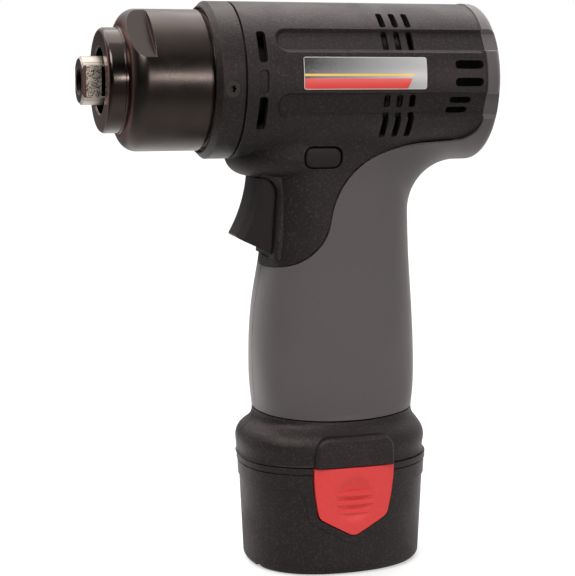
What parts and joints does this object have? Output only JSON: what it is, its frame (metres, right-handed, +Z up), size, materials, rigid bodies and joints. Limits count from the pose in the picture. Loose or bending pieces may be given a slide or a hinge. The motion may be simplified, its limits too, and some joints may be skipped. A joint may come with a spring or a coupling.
{
  "type": "cordless grinder",
  "caption": "Pistol-shaped cordless grinder with a geared spindle in a turned nose, vented motor head, soft grip handle, trigger and slide-out battery.",
  "frame": {"origin": "centre of the battery's foot, on the ground", "axes": "+X forward along the spindle out of the nose, +Y to the tool's left side, +Z up along the handle to the head"},
  "size_m": [0.1493, 0.0564, 0.2097],
  "materials": {
    "housing_plastic": "moulded, fine grain, satin",
    "grip_rubber": "soft overmould, matt",
    "screw_steel": "blackened",
    "label_face": "printed film, plain bands",
    "ring_metal": "black anodised, satin",
    "nose_metal": "black anodised, satin",
    "bearing_steel": "ground",
    "spindle_steel": "machined",
    "gear_steel": "machined",
    "motor_steel": "zinc plated",
    "magnet_black": "ferrite",
    "inner_plastic": "moulded",
    "bush_bronze": "sintered",
    "copper": "enamelled",
    "carbon": "carbon",
    "lead_sleeve": "insulated",
    "trigger_plastic": "moulded, satin",
    "spring_steel": "spring wire",
    "cell_sleeve": "sleeved cell",
    "latch_red": "moulded, satin"
  },
  "bodies": {
    "housing": {"housing_left": "housing_plastic", "housing_right": "housing_plastic", "grip_left": "grip_rubber", "grip_right": "grip_rubber", "housing_screws": "screw_steel", "label_left": "label_face", "label_right": "label_face", "front_ring": "ring_metal", "ring_screws": "screw_steel", "nose_housing": "nose_metal", "nose_collar": "nose_metal", "front_bearing_outer": "bearing_steel", "front_bearing_balls": "bearing_steel", "rear_bearing_outer": "bearing_steel", "rear_bearing_balls": "bearing_steel", "ring_gear": "gear_steel", "gearbox_plate": "gear_steel", "gearbox_screws": "screw_steel", "motor_can": "motor_steel", "motor_magnets": "magnet_black", "motor_end_bell": "inner_plastic", "motor_bushes": "bush_bronze", "brushes": "carbon", "motor_leads": "lead_sleeve", "battery_leads": "lead_sleeve", "trigger_switch": "inner_plastic", "trigger_spring": "spring_steel", "terminal_block": "inner_plastic", "terminal_blades": "copper"},
    "spindle": {"spindle": "spindle_steel", "planet_pins": "gear_steel", "retaining_ring": "spindle_steel", "front_bearing_inner": "bearing_steel", "rear_bearing_inner": "bearing_steel"},
    "planet_1": {"planet_gear_1": "gear_steel"},
    "planet_2": {"planet_gear_2": "gear_steel"},
    "planet_3": {"planet_gear_3": "gear_steel"},
    "rotor": {"motor_shaft": "spindle_steel", "armature_core": "motor_steel", "armature_windings": "copper", "commutator": "copper", "cooling_fan": "inner_plastic", "sun_gear": "gear_steel"},
    "trigger": {"trigger": "trigger_plastic"},
    "selector": {"selector_button": "trigger_plastic"},
    "battery": {"battery_case": "housing_plastic", "battery_top": "housing_plastic", "battery_cells": "cell_sleeve", "cell_links": "spring_steel", "battery_contacts": "copper", "battery_screws": "screw_steel", "latch_spring_left": "spring_steel", "latch_spring_right": "spring_steel"},
    "latch_left": {"latch_left": "latch_red"},
    "latch_right": {"latch_right": "latch_red"}
  },
  "joints": [
    {"name": "spindle_spin", "type": "hinge", "parent": "housing", "child": "spindle", "pos_m": [0.07, 0, 0.1815], "axis": [1, 0, 0], "continuous": true},
    {"name": "motor_spin", "type": "hinge", "parent": "housing", "child": "rotor", "pos_m": [0, 0, 0.1815], "axis": [1, 0, 0], "continuous": true},
    {"name": "planet_1_spin", "type": "hinge", "parent": "spindle", "child": "planet_1", "pos_m": [0.049, 0.012, 0.1815], "axis": [1, 0, 0], "continuous": true},
    {"name": "planet_2_spin", "type": "hinge", "parent": "spindle", "child": "planet_2", "pos_m": [0.049, -0.006, 0.19189], "axis": [1, 0, 0], "continuous": true},
    {"name": "planet_3_spin", "type": "hinge", "parent": "spindle", "child": "planet_3", "pos_m": [0.049, -0.006, 0.17111], "axis": [1, 0, 0], "continuous": true},
    {"name": "trigger_pull", "type": "slide", "parent": "housing", "child": "trigger", "axis": [-1, 0, 0], "range_m": [0, 0.006], "stiffness_N_per_m": 900, "deforming": ["trigger_spring"]},
    {"name": "selector_shift", "type": "slide", "parent": "housing", "child": "selector", "axis": [0, 1, 0], "range_m": [0, 0.003]},
    {"name": "battery_slide", "type": "slide", "parent": "housing", "child": "battery", "axis": [0, 0, -1], "range_m": [0, 0.062]},
    {"name": "latch_left_press", "type": "slide", "parent": "battery", "child": "latch_left", "axis": [0, -1, 0], "range_m": [0, 0.0025], "stiffness_N_per_m": 1600, "deforming": ["latch_spring_left"]},
    {"name": "latch_right_press", "type": "slide", "parent": "battery", "child": "latch_right", "axis": [0, 1, 0], "range_m": [0, 0.0025], "stiffness_N_per_m": 1600, "deforming": ["latch_spring_right"]}
  ],
  "couplings": [
    {"joint": "motor_spin", "follows": "spindle_spin", "ratio": 4},
    {"joint": "planet_1_spin", "follows": "spindle_spin", "ratio": -3},
    {"joint": "planet_2_spin", "follows": "spindle_spin", "ratio": -3},
    {"joint": "planet_3_spin", "follows": "spindle_spin", "ratio": -3}
  ]
}
